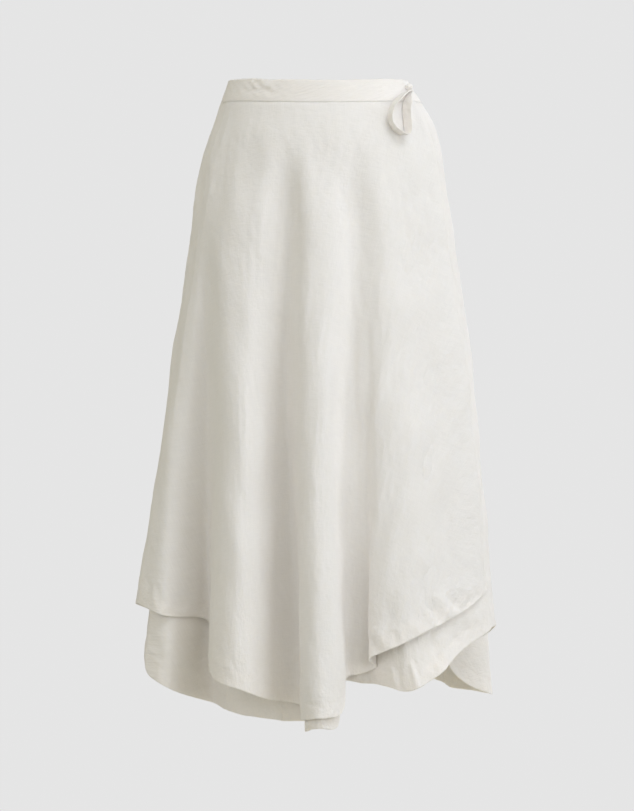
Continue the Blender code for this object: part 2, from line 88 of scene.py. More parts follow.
# The fold lines, left seam -> front -> right seam -> back. angle: place at the waist, 0 at centre front.
# turn: how much further round it has come at the hip. hip: how far the line stands off the body there. Then
# the plan position at the knee and near the hem, and the height of the hem: of the over front, and of the
# layer within (under front or back).
FOLD_COLUMNS = ("name", "angle", "turn", "hip", "x_knee", "y_knee", "x_low", "y_low", "z_over", "z_inner")
FOLDS = [
    ("left seam", -92, 0, 0, -213, 14, -215, 22, -742, -752),
    ("left turn", -81, 0, 0, -213.5, -14, -272, -22, -716, -760),
    ("under edge", -69, 0, 2, -204, -46, -254, -66, -718, -807),
    ("flute 1", -67, 0, 2.5, -197.5, -54, -226, -91, -726, -823),
    ("flute 1 inner side", -63.5, 0, 3, -180, -57.5, -192, -62, -731, -839),
    ("valley 1", -59, 0, 3, -157, -49, -153, -18, -740, -853),
    ("flute 2 outer side", -50, 0, 6.5, -137, -107, -151.5, -111, -800, -861),
    ("flute 2", -39, 0, 10.5, -105, -137.5, -111, -165, -820, -868),
    ("flute 2 inner side", -28, 0, 5, -77, -123, -74, -135, -836, -872),
    ("valley 2 left", -21, 0, -11, -59, -98, -48, -90, -845, -873),
    ("valley 2", -16, 0, -19, -44.5, -89.5, -20, -89, -852, -874),
    ("flute 3 left side", -9.5, 0, 1, -28.5, -137, -25.5, -148, -863, -880),
    ("flute 3", -3.5, 0, 11, -9, -155, -1, -191, -857, -871),
    ("flute 3 right side", 4.5, 0, 5, 15, -149, 34, -156, -846, -863),
    ("valley 3 left", 9.5, 0, -4.5, 30, -124, 37, -116, -811, -817),
    ("valley 3", 14.5, 0, -9, 44, -115, 56, -112, -805, -818),
    ("valley 3 right", 19, 0, -5.5, 60, -119, 78, -114, -796, -819),
    ("flute 4 left side", 24, 1, 4, 71.5, -131, 67, -134, -786, -821),
    ("flute 4", 36, 1, 2, 104, -134, 101, -164, -765, -825),
    ("flute 4 broad side", 48, 0, 0, 148, -113, 154, -148, -741, -807),
    ("flute 4 far side", 57, 2, 0, 186, -80, 198, -108, -722, -778),
    ("over edge", 65, 7, 0, 212, -38, 245, -40, -697, -752),
    ("right turn", 79, 3, 0, 219, -6, 255, -2, 0, -747),
    ("right turn back", 86, 1, 0, 219.5, 9, 236, 24, 0, -762),
    ("right seam", 93, 0, 0, 218, 24, 178, 27, 0, -790),
    ("seam flank", 99, 0, 0, 217, 38, 208, 48, 0, -833),
    ("back flute 1", 106, 0, 0, 216, 54, 247, 82, 0, -852),
    ("back valley 1", 115, 0, 0, 194, 73, 192, 112, 0, -846),
    ("back flute 2", 129, 0, 1, 166, 100, 164, 172, 0, -838),
    ("back valley 2", 145, 0, -1.5, 121, 111, 108, 118, 0, -838),
    ("back flute 3", 161, 0, 1.5, 70, 139, 58, 188, 0, -828),
    ("back valley 3", 175, 0, -2, 22, 127, 8, 122, 0, -834),
    ("back flute 4", 191, 0, 1.5, -38, 144, -46, 192, 0, -826),
    ("back valley 4", 206, 0, -2, -88, 120, -96, 116, 0, -832),
    ("back flute 5", 222, 0, 1, -136, 117, -152, 168, 0, -818),
    ("back valley 5", 238, 0, -1, -170, 85, -184, 94, 0, -822),
    ("back flute 6", 252, 0, 0, -202, 55, -234, 66, 0, -798),
]

# Each side of a back flute has a line of its own: this far along from the valley to the ridge, and this far
# out.
SIDE_ALONG = 0.40
SIDE_OUT = 0.62


def with_sides(rows):
    """The fold lines with one more between each ridge and valley of the back, which makes the ridges
    broad."""
    full = []
    for row, following in zip(rows, rows[1:] + rows[:1]):
        full.append(row)
        kinds = {row[0][:11], following[0][:11]}
        if kinds != {"back flute ", "back valley"}:
            continue
        ridge, valley = (row, following) if "flute" in row[0] else (following, row)
        side = [row[0] + " side"]
        side += [(a + b) / 2 for a, b in zip(row[1:6], following[1:6])]
        foot = np.array(valley[6:8])
        reach = np.array(ridge[6:8]) - foot
        out = foot / np.linalg.norm(foot)
        outwards = out * (reach @ out)
        side += list(foot + (reach - outwards) * SIDE_ALONG + outwards * SIDE_OUT)
        side += [(a + b) / 2 for a, b in zip(row[8:], following[8:])]
        full.append(tuple(side))
    return full


FOLDS = with_sides(FOLDS)

# Where the under front doesn't follow the over front near the hem, it hangs here instead (plan position).
UNDER_LOW = {
    "under edge": (-246, -50),
    "flute 1": (-216, -76),
    "flute 1 inner side": (-186, -50),
    "valley 1": (-156, -8),
    "flute 2 outer side": (-130, -44),
    "flute 2": (-94, -76),
    "flute 2 inner side": (-57, -84),
    "valley 2 left": (-40, -80),
    "valley 2": (-9, -80),
    "flute 3 left side": (-19.5, -141),
    "flute 3": (0, -184),
    "flute 3 right side": (27, -146),
    "valley 3 left": (32, -104),
    "valley 3": (53, -101),
    "valley 3 right": (74, -106),
    "flute 4 left side": (93, -129.5),
    "flute 4": (120, -150),
    "flute 4 broad side": (158, -142),
}

HEM_CORNER = 0.020  # radius of the under front's rounded lower corner

# The creases, one by one: x and z where each starts, x and z where it ends (seen from the front, or from
# behind for the back), how broad it is, and how far it stands out (a ridge) or sinks in (a trough), in mm.
OVER_CREASES = [
    # the over front's hem at the tie's side: puffs and hollows above the turned-up hem
    (158, -694, 178, -728, 7.5, 4.2),
    (146, -700, 163, -736, 5, -2.6),
    (178, -700, 196, -724, 5.5, -2.4),
    (192, -682, 212, -704, 8, 1.9),
    (118, -732, 144, -752, 9, 2.4),
    (98, -742, 108, -766, 5, -2),
    (76, -738, 94, -772, 6.5, 2.4),
    (70, -752, 82, -778, 4.5, -1.8),
    (84, -690, 100, -742, 8, -1.3),
    (132, -640, 150, -700, 11, -1.6),
    (106, -680, 120, -730, 9, 1.1),
    (176, -640, 186, -690, 9, 1.2),
    # the narrow ridge that splits the third valley in two
    (55, -330, 62, -640, 5, 2.4),
    (66, -300, 72, -620, 4, -1.8),
    (40, -150, 44, -420, 7, -1.6),
    # soft drags further up that side
    (150, -500, 142, -650, 12, -2.2),
    (172, -560, 180, -690, 10, -2.2),
    (156, -360, 158, -520, 11, -1.9),
    (128, -420, 122, -600, 14, 1.6),
    (108, -300, 104, -470, 10, -1.1),
    (112, -92, 114, -138, 9, -0.9),
    (134, -100, 140, -170, 8, 0.6),
    (118, -182, 122, -268, 10, -0.7),
    (145, -178, 152, -330, 7, -0.7),
    (158, -160, 170, -300, 5, 0.6),
    # the middle flutes near the hem
    (-17, -736, -2, -778, 5, -0.9),
    (-6, -768, 8, -812, 6, 0.8),
    (-18, -836, 6, -845, 4, -0.8),
    (4, -822, 24, -838, 6, 0.9),
    (-146, -752, -130, -792, 5.5, -0.9),
    (-132, -780, -112, -806, 6.5, 1),
    (-96, -795, -82, -822, 6, 0.8),
    # the over front's hem at the other side
    (-230, -682, -226, -716, 4, 1.3),
    (-222, -688, -219, -720, 4, -1.2),
    (-241, -676, -232, -694, 4.5, -0.9),
    (-208, -694, -204, -722, 4.5, 0.9),
    (-200, -700, -196, -724, 4, -0.8),
    # drags that run down across the hip from the waist seam
    (-92, -42, -52, -150, 9, 0.6),
    (-70, -36, -36, -118, 7, -0.5),
    (-120, -60, -96, -190, 10, -0.5),
    (-24, -60, -10, -140, 9, 0.5),
    (46, -76, 52, -128, 8, -0.8),
]
UNDER_CREASES = [
    # the under front below the over front's hem
    (97, -792, 103, -820, 2.8, 1.9),
    (102, -792, 109, -824, 3, -1.9),
    (112, -780, 116, -826, 5, 1.4),
    (123, -786, 133, -822, 3, 2.5),
    (129, -784, 139, -820, 3.2, -2.5),
    (141, -770, 146, -806, 4.5, 1.4),
    (154, -748, 164, -790, 6, -1.9),
    (146, -744, 153, -784, 6.5, 1.4),
    (168, -744, 178, -782, 5.5, 1.2),
    (184, -740, 192, -768, 5.5, -1.2),
    (202, -716, 210, -748, 6, 0.9),
    (100, -800, 225, -742, 24, -4.5),
    (250, -560, 256, -780, 16, -4.5),
    (-210, -740, -196, -800, 10, 1),
    (-226, -760, -214, -806, 6, -1),
    (-182, -790, -160, -826, 7, 0.9),
    (-20, -866, 4, -874, 4, 0.7),
]
BACK_CREASES = [
    # the back: drags from the seat and puffs above the hem
    (-60, -60, -84, -210, 10, -0.7),
    (-20, -50, -32, -190, 9, 0.6),
    (44, -56, 66, -200, 10, -0.6),
    (96, -70, 120, -230, 11, 0.6),
    (-120, -420, -126, -600, 12, 0.7),
    (60, -520, 54, -700, 12, -0.8),
    (-160, -768, -146, -806, 6, 1.2),
    (-176, -764, -166, -804, 5, -1),
    (-60, -772, -44, -814, 6, 1.1),
    (-28, -780, -20, -818, 5, -1),
    (36, -776, 50, -816, 6, 1.1),
    (66, -774, 72, -812, 5, -0.9),
    (150, -790, 164, -828, 6.5, 1.1),
    (216, -800, 226, -838, 5.5, -1),
    (246, -640, 249, -880, 16, -3.2),
]
CREASES = {"over": OVER_CREASES, "under": UNDER_CREASES, "back": BACK_CREASES}

# Where the waistband is drawn up into crinkles: middle and reach round it in degrees, and how much, in mm.
BAND_CRINKLES = [
    (-36, 12, 0.58),
    (-62, 16, 0.20),
    (30, 60, 0.05),
    (-150, 40, 0.16),
    (-235, 30, 0.18),
]

PLEAT_SLANT = 0.55  # how far the waistband's small pleats lean, for each metre up
PLEAT_PITCH = 0.0078
PLEAT_HEIGHT = 0.55  # this height and the next ones: for each mm that the waistband is drawn up
PLEATS_FROM, PLEATS_REACH = 0.35, 0.35  # where the pleats begin, as a share of its height, and over how much
LIFT = 1.2  # how far its top edge is lifted
LIFT_FROM, LIFT_REACH = 0.55, 0.4
CRINKLES_FULL = 0.45  # the share of its height at which the crinkles are full, and how they weaken to the top
CRINKLES_WEAKEN = 0.4
BAND_ROLLS = [  # a hollow and a ridge along it: middle and reach as shares of its height, and height
    (0.46, 0.16, -1.3),
    (0.22, 0.10, 0.5),
]
INNER_SHARE = 0.3  # how much of all that its inner face has
BAND_RADIUS = 0.113  # that makes running lengths of its angles

# Unevenness as sums of waves: a level, their height, the shortest and the longest wave, how many times
# longer the waves are down the cloth, how many there are, and the seed or what is added to a panel's seed.
WAVES = {
    "swell": (0.0, 0.00070, 0.045, 0.13, 2.2, 28, 0),
    "crumple": (0.0, 0.00019, 0.013, 0.045, 1.4, 56, 1),
    "crumple patches": (0.75, 0.35, 0.08, 0.20, 1.5, 10, 5),
    "puckers": (0.0, 0.00065, 0.010, 0.021, 1.0, 30, 2),
    "pucker patches": (0.55, 0.45, 0.09, 0.22, 1.0, 12, 3),
    "waistband edge": (0.0, 0.0004, 0.03, 0.09, 1.0, 28, 31),
    "waistband crinkles": (0.0, 1.0, 0.009, 0.034, 0.7, 40, 37),
    "pleats' drift": (0.0, 1.6, 0.020, 0.050, 1.0, 12, 41),
    "loop": (0.0, 0.00025, 0.008, 0.02, 1.0, 28, 53),
}
HELD_AT_WAIST = 0.05  # down to here the waist seam holds the cloth smoother
HELD_CRUMPLE = 0.30  # the share of the crumple that stays there
PULL = 0.9  # how much more uneven the front is by the tie, from PULL_FROM on over PULL_REACH, along x
PULL_FROM = 0.04
PULL_REACH = 0.09
PUCKER_REACH = 0.034  # how far up from the hem the puckers go
PUCKER_START, PUCKER_GROW = -0.006, 0.012  # and where they start, and how soon they are full
GROOVE = 0.00022  # how deep the hem's stitches draw the cloth in
GROOVE_WITHIN = 0.0020  # how far within the hem's inner edge that is
GROOVE_WIDTH = 0.0016
STEP_WIDTH = 0.0012  # over this width the turned-up cloth begins
WAIST_SINK = 0.0002  # how far the cloth sinks at the waist seam
WAIST_ROLL = 0.0030  # and over how much of its length
SEAM_ROLL = 0.0055  # how near a side seam the cloth starts to roll in
SEAM_SINK = 0.0009  # and how far it sinks
ROUND_EDGE = 0.35  # how far a shell's edge is rounded out, as a share of its wall

# ---- the tie ----
TIE_WIDTH = 0.016
TIE_WALL = 0.0012
KNOT_X = 0.1205  # where the tie is knotted, along the front
KNOT_Z = 0.0010
KNOT_SIZE = (0.0125, 0.0100, 0.0085)  # along the waistband, up it and off it
KNOT_STAND = 0.0012 + KNOT_SIZE[2] / 2
LOOP_HALF_WIDTH = 0.0098
LOOP_DROP = 0.0640
LOOP_LEAN = 0.0165  # how far the loop has swung to the side of the knot halfway down
LOOP_LEAN_LOW = 0.0095  # and at its lowest point
LOOP_CLEAR = 0.0020  # from the skirt to the tie's nearer edge
LOOP_TURN = 6.0  # how far the tie's width turns to the side from straight off the skirt, in degrees
LOOP_TWIST = 7.5  # and how much more on one arm of the loop, and less on the other
LOOP_OPENING = 0.16  # the turn at which the loop's two ends go into the knot
LOOP_FULL = 1.3  # one over the largest value of sin t * sin(t/2)
PINCH = 0.45  # the share of its width that the tie has at the knot
PINCH_REACH = 0.35  # and the share of the drop over which it widens
PINCH_NEAR = 0.2  # the share of what is pinched that comes off the edge near the skirt
KNOT_FOLD = 0.05  # how far the knot's folds stand out, as a share of its radius

# ---- sewing ----
STITCH_PITCH = 0.0034
STITCH_LENGTH = 0.0026
THREAD = 0.00040  # thickness of the sewing thread
STITCH_WITHIN = 0.0022  # how far within a hem's inner edge its stitches run

# ---- grids ----
STEP_ALONG = 0.0026  # from one column of a panel's grid to the next
STEP_DOWN = 0.0056  # from one row to the next, above the hem
HEM_ROWS_HEIGHT = 0.0420  # how far up the finer rows by the hem reach
STEP_HEM = 0.0017
BAND_STEPS = 860
BAND_ROWS = 20
LOOP_STEPS = 120
LOOP_ROWS = 9
KNOT_STEPS = (49, 33)  # round it and down it
FAR = 0.1  # stands for the distance to a hem where there is none

# ---- camera ----
CAMERA_PLACE = (-0.003, -4.0, -0.44)
PIXEL = 0.0014  # one pixel of the picture, at the camera's distance from the origin
PICTURE = (634, 811)
SENSOR = 36.0


# ---- curves ----
def column(rows, columns, name):
    """One column of a table as an array."""
    return np.array([row[columns.index(name)] for row in rows])


def slope_rule(knots, period=None):
    """The matrix that turns a curve's values at its knots into its slopes there, so that the curve bends
    without a break: closed with a period, and free at both ends without one."""
    count = len(knots)
    rule = np.zeros((count, count))
    chords = np.zeros((count, count))
    for i in range(count):
        for way in (-1, 1):
            if not period and not 0 <= i + way < count:
                continue
            j = (i + way) % count
            gap = (knots[j] - knots[i]) * way
            if period:
                gap %= period
            rule[i, j] += 1 / gap
            rule[i, i] += 2 / gap
            chords[i, j] += way * 3 / gap**2
            chords[i, i] -= way * 3 / gap**2
    return np.linalg.solve(rule, chords)


def spline_weights(knots, at, period=None):
    """Weights of a smooth curve through values at the knots, a cubic in each span. Row j holds what each
    knot's value counts for at at[j]. With a period the curve is closed; without one it runs straight on at
    its ends."""
    knots = np.asarray(knots, float)
    at = np.atleast_1d(np.asarray(at, float))
    slopes = slope_rule(knots, period)
    count = len(knots)
    if period:
        at = knots[0] + np.mod(at - knots[0], period)
        ends = np.append(knots, knots[0] + period)
    else:
        ends = knots
    span = np.clip(np.searchsorted(ends, at, side="right") - 1, 0, len(ends) - 2)
    step = ends[span + 1] - ends[span]
    t = (at - ends[span]) / step
    past = np.where(t > 1, t - 1, np.minimum(t, 0)) * step
    t = np.clip(t, 0, 1)
    this = np.eye(count)[span]
    following = np.eye(count)[(span + 1) % count]
    t, step, past = t[:, None], step[:, None], past[:, None]
    weights = (2 * t**3 - 3 * t**2 + 1) * this + (3 * t**2 - 2 * t**3) * following
    weights += (t**3 - 2 * t**2 + t) * step * slopes[span] + (t**3 - t**2) * step * slopes[(span + 1) % count]
    weights += np.maximum(past, 0) * slopes[(span + 1) % count] + np.minimum(past, 0) * slopes[span]
    return weights


def ease(t):
    """0 to 1 with a soft start and end."""
    t = np.clip(t, 0.0, 1.0)
    return t * t * (3.0 - 2.0 * t)


SECTION_Z = column(SECTIONS, SECTION_COLUMNS, "z")[::-1] * MM
SECTION_SIZES = np.array([row[1:] for row in SECTIONS])[::-1] * MM


def on_body(angle, z):
    """Point of the body's section at an angle (degrees) and height, and the outward direction there: an
    ellipse whose depth in front differs from that behind."""
    angle, z = np.broadcast_arrays(np.radians(angle), np.asarray(z, float))
    sizes = spline_weights(SECTION_Z, z.ravel()) @ SECTION_SIZES
    half_width, shift, front, back = (sizes[:, i].reshape(z.shape) for i in range(4))
    depth = np.where(np.cos(angle) > 0, front, back)
    point = np.stack([shift + half_width * np.sin(angle), -depth * np.cos(angle)], axis=-1)
    outward = np.stack([np.sin(angle) * depth, -np.cos(angle) * half_width], axis=-1)
    return point, outward / np.linalg.norm(outward, axis=-1, keepdims=True)


def waist_seam(angle):
    """Height of the waist seam: level at the sides, lower in front and higher behind."""
    lean = np.cos(np.radians(angle))
    return SEAM_Z_SIDE - FRONT_DIP * np.clip(lean, 0, 1) ** 2 + BACK_RISE * np.clip(-lean, 0, 1) ** 2


# ---- the skin ----
def of_folds(name):
    """One column of the table of fold lines."""
    return column(FOLDS, FOLD_COLUMNS, name)


def plan_at(level):
    """Plan positions of the fold lines at a level of the table."""
    return np.stack([of_folds("x_" + level), of_folds("y_" + level)], axis=1) * MM


NAMES = [row[0] for row in FOLDS]
ANGLES = of_folds("angle").astype(float)
HIP_ANGLES = ANGLES + of_folds("turn")
LINES = len(FOLDS)
ABOVE_HIP = 0.02  # the lines' slopes at the hip are measured over this height


def line_knots():
    """A running length for each fold line: chords round the skin, halfway between hip and hem."""
    hip, _ = on_body(HIP_ANGLES, HIP_Z)
    low = plan_at("low")
    chords = sum(np.linalg.norm(np.roll(ring, -1, axis=0) - ring, axis=1) for ring in (hip, low)) / 2
    return np.concatenate([[0.0], np.cumsum(chords)[:-1]]), float(chords.sum())


KNOTS, PERIOD = line_knots()


def layer_lines(layer):
    """How a layer's fold lines go: plan positions at the hip, knee and low levels, slopes at the first two,
    and how far the layer lies within the skin at the waist, at the knee and low down. The layers are "over"
    (the skin itself), "under" (the under front) and "back"."""
    hip, hip_out = on_body(HIP_ANGLES, HIP_Z)
    above, above_out = on_body(HIP_ANGLES, HIP_Z + ABOVE_HIP)
    stand = of_folds("hip")[:, None] * MM
    slope = (hip - above) / ABOVE_HIP + (hip_out - above_out) * stand / ABOVE_HIP
    hip = hip + hip_out * stand
    knee = plan_at("knee")
    low = plan_at("low")
    knee_slope = (low - hip) / (HIP_Z - LOW_Z)
    inset = np.zeros((3, LINES))
    if layer == "under":
        over_edge = NAMES.index("over edge")
        inset[0] = WRAP_AT_WAIST
        inset[1, :over_edge] = WRAP_AT_KNEE
        inset[2, :over_edge] = WRAP_AT_HEM
        inset[1:, over_edge] = WRAP_AT_WAIST
        for name, (x, y) in UNDER_LOW.items():
            row = NAMES.index(name)
            low[row] = (x * MM, y * MM)
            inset[2, row] = 0.0
    if layer == "back":
        right_seam = NAMES.index("right seam")
        inset[0, right_seam:] = WRAP_AT_WAIST * np.linspace(1.0, 0.0, LINES - right_seam)
    return hip, slope, knee, knee_slope, low, inset


def leg(start, end, start_slope, end_slope, z_start, z_end, z):
    """Plan positions of all fold lines along one smooth stretch of their way down; straight on past its
    end."""
    drop = z_start - z_end
    t = ((z_start - z) / drop)[None, :, None]
    past = np.maximum(t - 1.0, 0.0)
    t = np.clip(t, 0.0, 1.0)
    bend = (t**3 - 2 * t**2 + t) * start_slope[:, None] + (t**3 - t**2 + past) * end_slope[:, None]
    return (2 * t**3 - 3 * t**2 + 1) * start[:, None] + (3 * t**2 - 2 * t**3) * end[:, None] + drop * bend


def fold_paths(z, layer):
    """Plan position of every fold line at each height: round the body down to the hip, then smoothly
    through the knee and low positions, and moved in from the skin by the layer's inset."""
    hip, slope, knee, knee_slope, low, inset = layer_lines(layer)
    down = ease((SEAM_Z_SIDE - z) / (SEAM_Z_SIDE - HIP_Z))[None, :]
    turned = ANGLES[:, None] + (HIP_ANGLES - ANGLES)[:, None] * down
    body, body_out = on_body(turned, np.broadcast_to(z, turned.shape))
    stand = of_folds("hip")[:, None, None] * MM
    begun = ease((FOLDS_START_Z - z) / (FOLDS_START_Z - HIP_Z))[None, :, None]
    upper = body + body_out * stand * begun
    low_slope = (low - knee) / (KNEE_Z - LOW_Z)
    middle = leg(hip, knee, slope, knee_slope, HIP_Z, KNEE_Z, z)
    lower = leg(knee, low, knee_slope, low_slope, KNEE_Z, LOW_Z, z)
    level = z[None, :, None]
    lines = np.where(level > HIP_Z, upper, np.where(level > KNEE_Z, middle, lower))
    if not inset.any():
        return lines
    settle = ease((SEAM_Z_SIDE - z) / WRAP_SETTLE)[None, :]
    sink = np.clip((KNEE_Z - z) / (KNEE_Z - LOW_Z), 0.0, 1.0)[None, :]
    at_knee = inset[0][:, None] * (1 - settle) + inset[1][:, None] * settle
    moved = at_knee * (1 - sink) + inset[2][:, None] * sink
    tangent = (slope_rule(KNOTS, PERIOD) @ lines.reshape(LINES, -1)).reshape(lines.shape)
    outward = np.stack([tangent[..., 1], -tangent[..., 0]], axis=-1)
    outward /= np.linalg.norm(outward, axis=-1, keepdims=True)
    return lines - outward * moved[..., None]


def skin(along, z, layer):
    """Points of a layer: along is the running length round the skin (m values), z the heights (m by n).
    The section at a height is the smooth closed curve through the fold lines."""
    z = np.asarray(z, float)
    lines = fold_paths(z.ravel(), layer).reshape((LINES,) + z.shape + (2,))
    plan = np.einsum("mk,kmnc->mnc", spline_weights(KNOTS, along, PERIOD), lines)
    return np.concatenate([plan, z[..., None]], axis=-1)


def hem_line(along, first, last, column_name):
    """Height of a panel's hem: a smooth curve through the values of the fold lines from its first to its
    last."""
    start = NAMES.index(first)
    stop = NAMES.index(last)
    rows = np.arange(start, stop + 1 if stop > start else stop + LINES + 1)
    heights = of_folds(column_name)[rows % LINES] * MM
    knots = KNOTS[rows % LINES] + PERIOD * (rows // LINES)
    return spline_weights(knots, along) @ heights


def waist_line(along):
    """Height of the waist seam above each running length."""
    turned = np.concatenate([ANGLES, ANGLES + 360.0])
    knots = np.concatenate([KNOTS, KNOTS + PERIOD])
    return waist_seam(np.interp(along, knots, turned))


# ---- unevenness of the cloth ----
def wander(u, v, seed, short, long, lean, count):
    """Soft unevenness between about -1 and 1 over a surface with coordinates u and v in metres: the sum of
    count plane waves of random direction, phase and length, from short to long. Waves are lean times longer
    along v."""
    draw = np.random.default_rng(seed)
    total = np.zeros(np.broadcast(u, v).shape)
    for _ in range(count):
        length = short * (long / short) ** draw.random()
        heading = draw.random() * math.pi
        phase = draw.random() * 2 * math.pi
        turns = 2 * math.pi / length
        total += np.sin(turns * (u * math.cos(heading) + v * math.sin(heading) / lean) + phase)
    return total / math.sqrt(count / 2)


def waves(kind, u, v, seed=0):
    """One kind of unevenness of the table, over a surface with coordinates u and v in metres."""
    level, height, short, long, lean, count, own_seed = WAVES[kind]
    return level + height * wander(u, v, own_seed + seed, short, long, lean, count)


def creases(points, panel_name):
    """How far a panel's listed creases move each point out. A crease is a straight run in x and z;
    across it the height falls off as a bell curve of its width, and along it as (4 t (1 - t)) to the power
    0.6."""
    total = np.zeros(points.shape[:-1])
    for x_start, z_start, x_end, z_end, width, height in CREASES[panel_name]:
        start = np.array([x_start, z_start]) * MM
        run = np.array([x_end, z_end]) * MM - start
        place = points[..., [0, 2]] - start
        t = np.clip(place @ run / (run @ run), 0.0, 1.0)
        away = np.linalg.norm(place - t[..., None] * run, axis=-1) / (width * MM)
        total += height * MM * (4 * t * (1 - t)) ** 0.6 * np.exp(-away**2)
    facing = 1.0 if panel_name == "back" else -1.0
    return total * (points[..., 1] * facing > 0)


# ---- meshes ----
def add(name, data):
    """A new object in the scene."""
    thing = bpy.data.objects.new(name, data)
    bpy.context.scene.collection.objects.link(thing)
    return thing


def unit(vectors):
    """The vectors, each divided by its length."""
    return vectors / np.maximum(np.linalg.norm(vectors, axis=-1, keepdims=True), 1e-12)


def lay_cloth(mesh, flat, hem):
    """Gives a mesh the cloth's own coordinates, for the weave, and the distance to the nearest hem, both from
    values at its points."""
    corners = np.zeros(len(mesh.loops), np.int32)
    mesh.loops.foreach_get("vertex_index", corners)
    mesh.uv_layers.new(name="cloth").uv.foreach_set("vector", flat[corners].ravel().astype(np.float32))
    mesh.attributes.new("hem", "FLOAT", "POINT").data.foreach_set("value", hem.astype(np.float32))


def smooth_piece(name, points, faces, material):
    """A piece with smooth faces, from its points and the lists of its faces' corners."""
    mesh = bpy.data.meshes.new(name)
    mesh.from_pydata(points.reshape(-1, 3).tolist(), [], faces)
    mesh.shade_smooth()
    mesh.materials.append(material)
    return add(name, mesh)


def grid_normals(points):
    """Outward direction at each point of a grid (across by down): the way down times the way across."""
    return unit(np.cross(np.gradient(points, axis=1), np.gradient(points, axis=0)))


def shell(name, outer, inner, flat, hem, material):
    """A closed thin shell between two grids of points (across by down). The edge is rounded: a middle line
    runs round it, pushed out by ROUND_EDGE of the wall. flat holds the cloth's own coordinates in metres,
    for the weave, and hem the distance to the nearest turned edge, kept as an attribute."""
    across, down = outer.shape[:2]
    count = across * down
    corner = np.arange(count).reshape(across, down)
    around = (corner[:-1, :-1], corner[:-1, 1:], corner[1:, 1:], corner[1:, :-1])
    front = np.stack([part.ravel() for part in around], axis=1)
    edge = np.concatenate([corner[:, 0], corner[-1, 1:], corner[-2::-1, -1], corner[0, -2:0:-1]])
    beside = np.concatenate([corner[:, 1], corner[-2, 1:], corner[-2::-1, -2], corner[1, -2:0:-1]])
    flat_outer = outer.reshape(-1, 3)
    flat_inner = inner.reshape(-1, 3)
    middle = (flat_outer[edge] + flat_inner[edge]) / 2
    wall = np.linalg.norm(flat_outer[edge] - flat_inner[edge], axis=1, keepdims=True)
    middle = middle + unit(flat_outer[edge] - flat_outer[beside]) * wall * ROUND_EDGE
    ring = 2 * count + np.arange(len(edge))
    next_edge = np.roll(edge, -1)
    next_ring = np.roll(ring, -1)
    faces = np.concatenate([
        front,
        front[:, ::-1] + count,
        np.stack([edge, next_edge, next_ring, ring], axis=1),
        np.stack([ring, next_ring, next_edge + count, edge + count], axis=1),
    ])
    points = np.concatenate([flat_outer, flat_inner, middle])
    mesh = bpy.data.meshes.new(name)
    mesh.vertices.add(len(points))
    mesh.vertices.foreach_set("co", points.ravel())
    mesh.loops.add(faces.size)
    mesh.loops.foreach_set("vertex_index", faces.ravel().astype(np.int32))
    mesh.polygons.add(len(faces))
    mesh.polygons.foreach_set("loop_start", np.arange(0, faces.size, 4, dtype=np.int32))
    mesh.update(calc_edges=True)
    mesh.shade_smooth()
    flat, hem = flat.reshape(-1, 2), hem.ravel()
    lay_cloth(mesh, np.concatenate([flat, flat, flat[edge]]), np.concatenate([hem, hem, hem[edge]]))
    mesh.materials.append(material)
    mesh.validate()
    return add(name, mesh)


def plain_flat(points):
    """Cloth coordinates of a strip: the distances along and down its grid."""
    return np.stack([lengths(points, 0), -lengths(points, 1)], axis=-1)


def ring_sector(across, down):
    """The cloth laid flat as a part of a ring. across holds the length of each row at its top and bottom
    end (how far along each column is), down the distance down each column. The coordinates are metres on
    the flat cloth."""
    top = across[:, 0] - across[:, :1].mean()
    low = across[:, -1] - across[:, -1].mean()
    height = down[:, -1].mean()
    spread = (low[-1] - low[0]) / max(top[-1] - top[0], 1e-6)
    radius = height / max(spread - 1.0, 1e-3)
    angle = top / radius
    reach = radius + down
    return np.stack([reach * np.sin(angle)[:, None], -reach * np.cos(angle)[:, None]], axis=-1)


def lengths(points, axis):
    """Distance along a grid's lines from their start."""
    steps = np.linalg.norm(np.diff(points, axis=axis), axis=-1)
    start = np.zeros_like(np.take(steps, [0], axis=axis))
    return np.concatenate([start, np.cumsum(steps, axis=axis)], axis=axis)


def crossing(values, target, *grids):
    """Where the values, falling along each line of a grid's second axis, pass a target: the grids' points
    there."""
    after = np.clip((values > target).sum(axis=1), 1, values.shape[1] - 1)
    line = np.arange(len(values))
    high, low = values[line, after - 1], values[line, after]
    share = np.clip((high - target) / np.maximum(high - low, 1e-9), 0, 1)
    found = []
    for grid in grids:
        part = share[:, None] if grid.ndim == 3 else share
        found.append(grid[line, after - 1] * (1 - part) + grid[line, after] * part)
    return found


def hem_seams(outer, facing, to_hem, sides):
    """The stitch lines of a panel: along its hem, and down each free edge. sides holds the distances from
    those edges, each turned so that it falls along the first axis, with the grids turned the same way."""
    down_to = HEM_DEPTH - STITCH_WITHIN
    in_from = EDGE_DEPTH - STITCH_WITHIN
    side_distances = [from_edge for from_edge, _ in sides]
    points, normals, *from_edges = crossing(to_hem, down_to, outer, facing, *side_distances)
    keep = np.ones(len(points), bool)
    for from_edge in from_edges:
        keep &= from_edge > in_from
    seams = [(points[keep], normals[keep])]
    for from_edge, flip in sides:
        grids = [grid[::flip].swapaxes(0, 1) for grid in (from_edge, outer, facing, to_hem)]
        points, normals, height = crossing(grids[0], in_from, *grids[1:])
        keep = height > down_to
        seams.append((points[keep], normals[keep]))
    return seams


